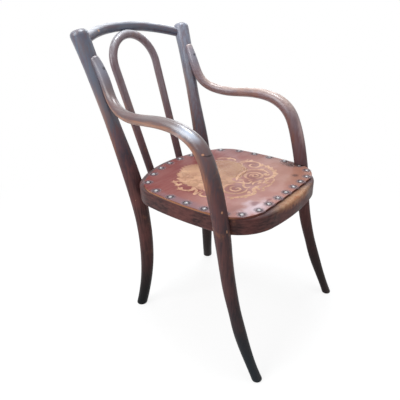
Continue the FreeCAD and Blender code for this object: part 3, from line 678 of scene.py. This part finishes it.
def pressed_tan(name, cover, worn_side, worn_patches, patch_scale):
    """Tan wood under a thin varnish, rubbed through in patches, more so on the far side."""
    material, wires, shader = new_material(name, roughness=0.46, specular_ior_level=0.12)
    grain = place_group(wires, grain_group, stretch=TAN_GRAIN)
    wear = place_group(wires, wear_group, patch_scale=patch_scale, patch_amount=0.75)
    wires.join(wires.blend(grain["Cloud"], TAN_LIGHT, TAN_DEEP), shader["Base Color"])
    far_side = wires.between(wires.axes()["X"], *WORN_RANGE, 0.0, worn_side)
    lost = wires.math("MAXIMUM", far_side, wires.product(wear["Patch"], worn_patches))
    wires.join(wires.product(wires.math("SUBTRACT", 1.0, lost), cover), shader["Alpha"])
    print(name, "covers", cover)
    return material


scroll_tan = pressed_tan("scroll_tan", cover=0.92, worn_side=0.05, worn_patches=0.25, patch_scale=55.0)
field_tan = pressed_tan("field_tan", cover=0.85, worn_side=0.62, worn_patches=0.3, patch_scale=24.0)

# %% Scroll lines
SWAG = 10.5
STEM = 7.5
CURL = 6.0
LINES = {
    "near swag": (SWAG, [(-112, -84), (-99, -105), (-82, -116), (-62, -126), (-45, -124), (-37, -114),
                         (-16, -111), (0, -113)]),
    "far swag": (SWAG, [(127, -46), (122, -63), (114, -77), (105, -92), (88, -106), (67, -111), (47, -108),
                        (30, -111), (10, -112)]),
    "tail": (CURL, [(-38, -131), (-22, -138), (-12, -127), (8, -133), (28, -131), (50, -125), (64, -114)]),
    "near crook": (STEM, [(-112, 93), (-122, 77), (-126, 64), (-117, 57)]),
    "near wave": (STEM, [(-136, 56), (-144, 41), (-141, 24), (-130, 12), (-119, 20), (-126, 2), (-147, -8),
                         (-119, -10)]),
    "near eye": (CURL, [(-123, -18), (-138, -18), (-144, -30), (-138, -43), (-125, -38), (-127, -27)]),
    "far medallion": (STEM, [(-12, -44), (-2, -38), (17, -30), (46, -26), (71, -32), (86, -48), (92, -68),
                             (84, -88)]),
    "near medallion": (STEM, [(-34, -54), (-48, -42), (-68, -42), (-86, -54), (-90, -74), (-80, -93),
                              (-60, -102), (-40, -98)]),
    "near curl": (CURL, [(-46, -62), (-60, -58), (-72, -68), (-70, -82), (-56, -86), (-50, -76),
                         (-60, -72)]),
    "middle stem": (CURL, [(-30, -46), (-18, -58), (-20, -72), (-32, -80), (-38, -92), (-26, -98)]),
    "middle curl": (CURL, [(-4, -60), (-14, -70), (-8, -82), (5, -80), (6, -68)]),
    "low curl": (CURL, [(-12, -96), (0, -90), (12, -94), (14, -104), (2, -102)]),
    "far link": (CURL, [(92, 9), (104, 16), (118, 13), (131, 0), (135, -20), (124, -35), (106, -39),
                        (95, -28), (98, -14), (112, -12), (118, -22)]),
    "far hook": (CURL, [(100, 22), (114, 24), (128, 16), (140, 20)]),
    "far crook": (CURL, [(88, 99), (102, 91), (114, 74), (117, 54), (108, 44)]),
}
print("scroll lines:", ", ".join(LINES))

# %% Scrolls
SCROLL_RIDGE = 0.24
LEAF = 10.0
LEAVES = (
    ((-106, 80), (-124, 92), 0.2), ((-114, 62), (-136, 70), 0.2), ((-132, 44), (-152, 50), 0.2),
    ((-124, 10), (-144, 14), -0.2), ((-108, -62), (-124, -72), 0.2), ((-104, -92), (-120, -98), 0.2),
    ((-78, -112), (-92, -124), 0.2), ((112, -40), (136, -34), -0.2), ((114, -56), (138, -54), -0.2),
    ((108, -72), (130, -72), -0.2), ((100, -88), (120, -92), -0.2), ((84, -100), (100, -110), -0.2),
    ((66, -94), (84, -84), 0.3), ((24, -92), (30, -104), -0.3), ((94, -52), (104, -62), -0.2),
    ((4, -56), (-6, -46), 0.2), ((128, 8), (146, 8), -0.2), ((104, 66), (124, 70), 0.2),
    ((-24, -116), (-30, -128), 0.2), ((20, -114), (28, -126), -0.2), ((-96, -60), (-104, -46), 0.2),
    ((-52, -108), (-66, -114), 0.2), ((44, -96), (54, -104), -0.2),
)
scrolls = Moulding(SCROLL_RIDGE)
for width, points in LINES.values():
    scrolls.ribbon(smooth_line(points), width)
scrolls.ribbon(volute(centre=(44, -67), outer=30, inner=17, start=200, turns=-0.95), STEM)
scrolls.ribbon(volute(centre=(44, -66), outer=14, inner=4, start=150, turns=-1.3), CURL)
scrolls.ribbon(volute(centre=(72, -90), outer=9, inner=3, start=60, turns=0.9), CURL)
for root, tip, bend in LEAVES:
    scrolls.leaf(root, tip, LEAF, bend)
seat_piece("ornament_scrolls", scrolls.points, scrolls.faces, scroll_tan)

# %% [markdown]
# The field is a fan of narrow leaves that spread from one root, like the flutes of a shell. On the
# near side they touch. On the far side fine gaps are left between them, so the red of the seat
# draws the ribs. Every second flute is a little shorter, which gives the leafy edge.

# %% Field
FIELD_ROOT = Vector((-8, -46))
FIELD_RIDGE = 0.13
FIELD_EDGE = [
    (-100, -44), (-114, -24), (-117, 8), (-115, 34), (-112, 62), (-104, 88), (-82, 107), (-73, 119),
    (-57, 122), (-37, 132), (-16, 141), (1, 135), (14, 126), (34, 120), (58, 112), (80, 100), (96, 82),
    (106, 58), (104, 30), (92, 4), (80, -16), (66, -28),
]
EDGE_STEPS = 3
FLUTE_STEPS = 8
FLUTE_START = 0.1
SHORT_FLUTE = 0.95
GAPS_FROM = -20
TOUCHING = 1.05
GAPPED = 0.68
ROOT_WIDTH = 0.14
OUTWARD_GROWTH = 0.95
TIP_SLOPE = 12.0
TIP_END = 1.02


def flute(share):
    """The width of a flute along its length: growing outwards, with a blunt tip."""
    return min(ROOT_WIDTH + share * OUTWARD_GROWTH, TIP_SLOPE * (TIP_END - share))


field = Moulding(FIELD_RIDGE)
rim = smooth_line(FIELD_EDGE, EDGE_STEPS)
for number, tip in enumerate(rim):
    neighbours = rim[max(number - 1, 0)] - rim[min(number + 1, len(rim) - 1)]
    reach = SHORT_FLUTE if number % 2 else 1.0
    root = FIELD_ROOT + (tip - FIELD_ROOT) * FLUTE_START
    end = FIELD_ROOT + (tip - FIELD_ROOT) * reach
    closeness = TOUCHING if tip.x < GAPS_FROM else GAPPED
    line = smooth_line([root, (root + end) / 2, end], FLUTE_STEPS)
    field.ribbon(line, neighbours.length * closeness, flute)
seat_piece("ornament_field", field.points, field.faces, field_tan)

# %% [markdown]
# ## Stains and painted shadows around the nails
# A dark ring of painted shadow lies around every nail head, with a grey halo that rust and polish
# have left outside it. They could be marks in the seat's material, but one for each nail would make
# it long and slow. Each ring and halo is a thin disc on the panel instead. Its points carry how
# strong the colour is, strong at the head and nothing at the rim, so that one material can fade all
# of them out.

# %% Nail places
nail_nodes = [name for name in nodes if name.startswith("seat_nails")]


def loose_parts(mesh):
    """The points of each separate part of a mesh."""
    whole = bmesh.new()
    whole.from_mesh(mesh)
    seen = set()
    parts = []
    for first in whole.verts:
        if first in seen:
            continue
        seen.add(first)
        part = [first]
        for vert in part:
            for edge in vert.link_edges:
                other = edge.other_vert(vert)
                if other not in seen:
                    seen.add(other)
                    part.append(other)
        parts.append([vert.co.copy() for vert in part])
    whole.free()
    return parts


nail_places = []
for name in nail_nodes:
    for part in loose_parts(nodes[name].data):
        middle = sum(part, Vector()) / len(part)
        nail_places.append((middle.x, middle.y))
print("nails:", len(nail_places))

# %% Stain discs
DISC_LIFT = 0.05
DISC_SIDES = 28
DISC_PROFILE = ((0.02, 1.0), (0.45, 1.0), (0.62, 0.6), (0.8, 0.22), (1.0, 0.0))
THINNED = 0.5


def stain_and_shadow_layer(name, tint, strength):
    """A see-through stain, or painted shadow for the nail rings, that follows the strength its points
    carry.
    """
    material, wires, shader = new_material(name, base_color=tint, roughness=0.5, specular_ior_level=0.2)
    fade = wires.add("Attribute", attribute_name="fade").outputs["Fac"]
    wear = place_group(wires, wear_group, patch_scale=160.0, patch_amount=0.6)
    left = wires.math("SUBTRACT", 1.0, wires.product(wear["Patch"], THINNED))
    wires.join(wires.product(wires.product(fade, left), strength), shader["Alpha"])
    return material


def stain_and_shadow_discs(name, discs, tint, strength):
    """Thin discs of stain, or of painted shadow for the nail rings, at (x, y, radius), strongest in the
    middle.
    """
    points, faces, fades = [], [], []
    height = seat_high.z + DISC_LIFT * MM
    for x, y, radius in discs:
        first = len(points)
        for reach, fade in DISC_PROFILE:
            for side in range(DISC_SIDES):
                angle = 2 * math.pi * side / DISC_SIDES
                spread = reach * radius
                points.append((x + spread * math.cos(angle), y + spread * math.sin(angle), height))
                fades.append(fade)
        faces.append([first + side for side in range(DISC_SIDES)])
        for row in range(len(DISC_PROFILE) - 1):
            inside = first + row * DISC_SIDES
            outside = inside + DISC_SIDES
            for side in range(DISC_SIDES):
                other = (side + 1) % DISC_SIDES
                faces.append((inside + side, outside + side, outside + other, inside + other))
    piece = seat_piece(name, points, faces, stain_and_shadow_layer(name, tint, strength))
    piece.data.attributes.new("fade", "FLOAT", "POINT").data.foreach_set("value", fades)
    return piece


print("stain discs have", len(DISC_PROFILE), "rows of", DISC_SIDES, "points")

# %% Nail halos, painted shadow rings and spots
# The dark colour is real stain for the spots and painted shadow for the rings around the nails.
STAIN_AND_SHADOW_DARK = stain(84, 66, 70)
STAIN_GREY = stain(166, 154, 164)
HALO_RADIUS = 0.017
HALO_STRENGTH = 0.42
SHADOW_RING_RADIUS = 0.0078
SHADOW_RING_STRENGTH = 0.2
SPOT_STRENGTH = 0.42
SPOTS = ((113, -157, 0.013), (185, -98, 0.03), (176, -112, 0.022))
stain_and_shadow_discs("nail_halos", [(x, y, HALO_RADIUS) for x, y in nail_places], STAIN_GREY, HALO_STRENGTH)
# The dark rings are painted shadow around the nail heads.
shadow_rings = stain_and_shadow_discs("nail_shadow_rings", [(x, y, SHADOW_RING_RADIUS) for x, y in nail_places], STAIN_AND_SHADOW_DARK, SHADOW_RING_STRENGTH)
shadow_rings.location.z = DISC_LIFT * MM
spots = [(*on_seat(across, along).xy, radius) for across, along, radius in SPOTS]
stain_and_shadow_discs("seat_spots", spots, STAIN_AND_SHADOW_DARK, SPOT_STRENGTH)

# %% [markdown]
# ## Steel and pins
# The dome nails have kept a dull shine; the screws and washers under the seat are plainer and
# browner. Old steel is no clean mirror, so it is only partly metallic, with dull spots from the
# wear group. The pins across the crest rail's tenons are beech like the rods.

# %% Steel and pins
STEEL_BRIGHT = stain(158, 156, 158)
STEEL_DULL = stain(118, 112, 114)
STEEL_BROWN = stain(84, 74, 66)
PIN_GRAIN = (90.0, 5.0, 90.0)


def old_steel(name, bright, dull):
    """Metal that has gone dull in spots."""
    material, wires, shader = new_material(name, metallic=0.3, roughness=0.42)
    wear = place_group(wires, wear_group, patch_scale=260.0, patch_amount=0.6)
    wires.join(wires.blend(wear["Patch"], bright, dull), shader["Base Color"])
    return material


fasteners = [name for name in nodes if ("screw" in name or "washer" in name) and "arm" not in name]
dress(old_steel("nail_steel", STEEL_BRIGHT, STEEL_DULL), *nail_nodes)
dress(old_steel("screw_steel", STEEL_DULL, STEEL_BROWN), *fasteners)
dress(stained_beech("pin_beech", PIN_GRAIN), *[name for name in nodes if "pin" in name])

# %% [markdown]
# ## Floor and light
# A white floor runs far past the picture, so no horizon shows. Seen directly, it is lifted towards
# plain white with distance from the chair and keeps only a faint shadow close by; for the light
# that bounces off it, it stays ordinary paper. One soft lamp stands on the near side, one hangs
# overhead and a cool one on the far side stands for a window that shines across the varnish.

# %% Floor
FLOOR_REACH = 90.0
LIFT_RANGE = (0.3, 1.4)
LIFT_NEAR = 0.82


def seen_directly(wires):
    """1 for what the camera sees, also in a mirror or through glass, and 0 for other light."""
    rays = wires.add("LightPath").outputs
    direct = wires.math("ADD", rays["Is Camera Ray"], rays["Is Glossy Ray"])
    return wires.math("ADD", direct, rays["Is Transmission Ray"], clamp=True)


floor_mesh = bpy.data.meshes.new("floor")
corners = [(x * FLOOR_REACH, y * FLOOR_REACH, 0) for x, y in ((-1, -1), (1, -1), (1, 1), (-1, 1))]
floor_mesh.from_pydata(corners, [], [(0, 1, 2, 3)])
floor = bpy.data.objects.new("floor", floor_mesh)
bpy.context.collection.objects.link(floor)
paper, wires, shader = new_material("floor_paper", base_color=stain(248, 248, 248), roughness=0.9,
                                    specular_ior_level=0.1)
spread = wires.vector("LENGTH", wires.place())
lifted = wires.product(seen_directly(wires), wires.between(spread, *LIFT_RANGE, LIFT_NEAR, 1.0))
glow = wires.add("Emission", strength=1.0)
seen = wires.add("MixShader", {"Fac": lifted})
wires.join(paper.node_tree.nodes["Principled BSDF"].outputs["BSDF"], seen.inputs[1])
wires.join(glow.outputs["Emission"], seen.inputs[2])
wires.join(seen.outputs["Shader"], paper.node_tree.nodes["Material Output"].inputs["Surface"])
floor_mesh.materials.append(paper)
print("floor reaches", FLOOR_REACH, "m")

# %% Sky
SKY_LIGHT = 0.6
world = bpy.data.worlds.new("studio")
bpy.context.scene.world = world
world.use_nodes = True
sky = world.node_tree.nodes["Background"]
wires = Wiring(world.node_tree)
wires.join(wires.between(seen_directly(wires), 0.0, 1.0, SKY_LIGHT, 1.0), sky.inputs["Strength"])
sky.inputs["Color"].default_value = (1, 1, 1, 1)
print("sky lights the chair at", SKY_LIGHT)

# %% Lamps
PLAIN = (1.0, 1.0, 1.0)
COOL = (0.94, 0.97, 1.0)
SKY_BLUE = (0.88, 0.94, 1.0)


def soft_lamp(name, place, target, width, power, colour):
    """A square area lamp aimed at a point, unseen by the camera."""
    data = bpy.data.lights.new(name, "AREA")
    data.shape = "SQUARE"
    data.size = width
    data.energy = power
    data.color = colour
    lamp = bpy.data.objects.new(name, data)
    bpy.context.collection.objects.link(lamp)
    lamp.location = place
    lamp.rotation_euler = (Vector(target) - Vector(place)).to_track_quat("-Z", "Y").to_euler()
    lamp.visible_camera = False
    print(name, "at", place, power, "W")


soft_lamp("near_lamp", place=(-1.7, 0.5, 1.6), target=(0, 0, 0.4), width=1.4, power=32, colour=PLAIN)
soft_lamp("top_lamp", place=(0.15, 0.25, 2.6), target=(-0.1, 0, 0.5), width=0.8, power=38, colour=COOL)
soft_lamp("window_lamp", place=(1.8, 1.0, 1.55), target=(-0.1, -0.2, 0.44), width=1.0, power=10,
          colour=SKY_BLUE)

# %% [markdown]
# ## Camera
# The picture looks down on the chair from its near front corner. A camera can be aimed at a target
# and nudged until it fits, but here its place, its two directions and its focal length come from
# fitting the chair's known points to the picture. The lens looks at a point beside the picture's
# middle, which the sensor's shift allows for.

# %% Camera
IMAGE_PIXELS = 400
FOCAL_PIXELS = 407.54
AXIS_PIXEL = (247.117, 231.724)
SENSOR = 36.0
CAMERA_PLACE = Vector((-0.8539, -0.66627, 0.880))
CAMERA_RIGHT = Vector((0.55072, -0.83446, 0.0197))
CAMERA_DOWN = Vector((-0.4138, -0.29344, -0.86178))
camera_data = bpy.data.cameras.new("camera")
camera_data.sensor_width = SENSOR
camera_data.lens = SENSOR * FOCAL_PIXELS / IMAGE_PIXELS
camera_data.shift_x = (IMAGE_PIXELS / 2 - AXIS_PIXEL[0]) / IMAGE_PIXELS
camera_data.shift_y = (AXIS_PIXEL[1] - IMAGE_PIXELS / 2) / IMAGE_PIXELS
camera = bpy.data.objects.new("camera", camera_data)
bpy.context.collection.objects.link(camera)
turn = Matrix((CAMERA_RIGHT, -CAMERA_DOWN, CAMERA_RIGHT.cross(-CAMERA_DOWN))).transposed()
camera.matrix_world = Matrix.Translation(CAMERA_PLACE) @ turn.to_4x4()
bpy.context.scene.camera = camera
bpy.context.scene.view_settings.view_transform = "Standard"
print("camera at", CAMERA_PLACE, "lens", round(camera_data.lens, 2), "mm")
